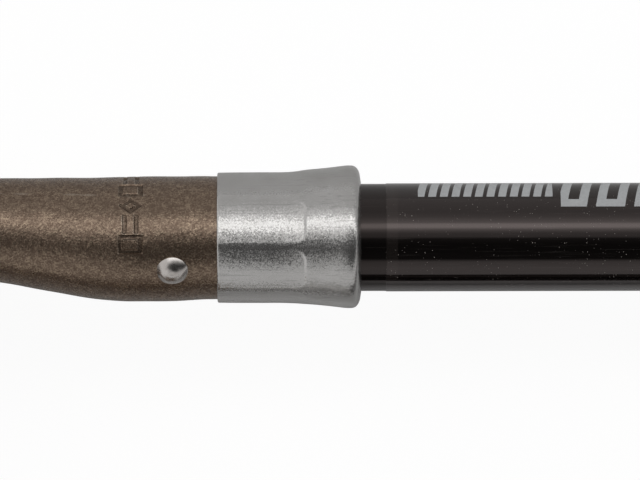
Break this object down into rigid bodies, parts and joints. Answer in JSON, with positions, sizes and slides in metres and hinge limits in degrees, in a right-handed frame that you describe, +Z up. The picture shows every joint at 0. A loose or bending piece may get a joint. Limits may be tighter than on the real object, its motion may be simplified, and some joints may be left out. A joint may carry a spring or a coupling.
{
  "type": "post hole digger",
  "caption": "Clamshell post hole digger: half-round steel blades hinged face to face, their sockets riveted and collared to straight glass-fibre handles that spread to close them.",
  "frame": {"origin": "middle of the bounding box at its bottom, the outer face of the lower hinge bolt's head, with the tool lying on its side and its handles parallel", "axes": "+X along the handles from the blade tips to the grip ends, +Y from the right half to the left half, +Z up along the hinge axis"},
  "size_m": [1.5, 0.1666, 0.149],
  "materials": {
    "head_steel": "satin",
    "collar_zinc": "satin",
    "rivet_steel": "polished",
    "fastener_steel": "satin",
    "shaft_glassfibre": "gloss",
    "core_wood": "matte",
    "grip_rubber": "matte",
    "plug_plastic": "matte",
    "label_film": "gloss",
    "thrust_nylon": "matte",
    "nut_nylon": "matte"
  },
  "bodies": {
    "left_half": {"left_blade_head": "head_steel", "left_collar": "collar_zinc", "left_socket_rivet": "rivet_steel", "left_shaft": "shaft_glassfibre", "left_shaft_core": "core_wood", "left_end_plug": "plug_plastic", "left_grip": "grip_rubber", "left_label_film": "label_film", "upper_pivot_bolt": "fastener_steel", "upper_head_washer": "fastener_steel", "upper_pivot_sleeve": "fastener_steel", "upper_thrust_washer": "thrust_nylon", "upper_nut_washer": "fastener_steel", "upper_lock_nut": "fastener_steel", "upper_nut_ring": "nut_nylon", "lower_pivot_bolt": "fastener_steel", "lower_head_washer": "fastener_steel", "lower_pivot_sleeve": "fastener_steel", "lower_thrust_washer": "thrust_nylon", "lower_nut_washer": "fastener_steel", "lower_lock_nut": "fastener_steel", "lower_nut_ring": "nut_nylon"},
    "right_half": {"right_blade_head": "head_steel", "right_collar": "collar_zinc", "right_socket_rivet": "rivet_steel", "right_shaft": "shaft_glassfibre", "right_shaft_core": "core_wood", "right_end_plug": "plug_plastic", "right_grip": "grip_rubber", "right_label_film": "label_film"}
  },
  "joints": [
    {"name": "blade_hinge", "type": "hinge", "parent": "left_half", "child": "right_half", "pos_m": [-0.465, 0, 0.0745], "axis": [0, 0, -1], "range_deg": [-3, 28.8]}
  ]
}
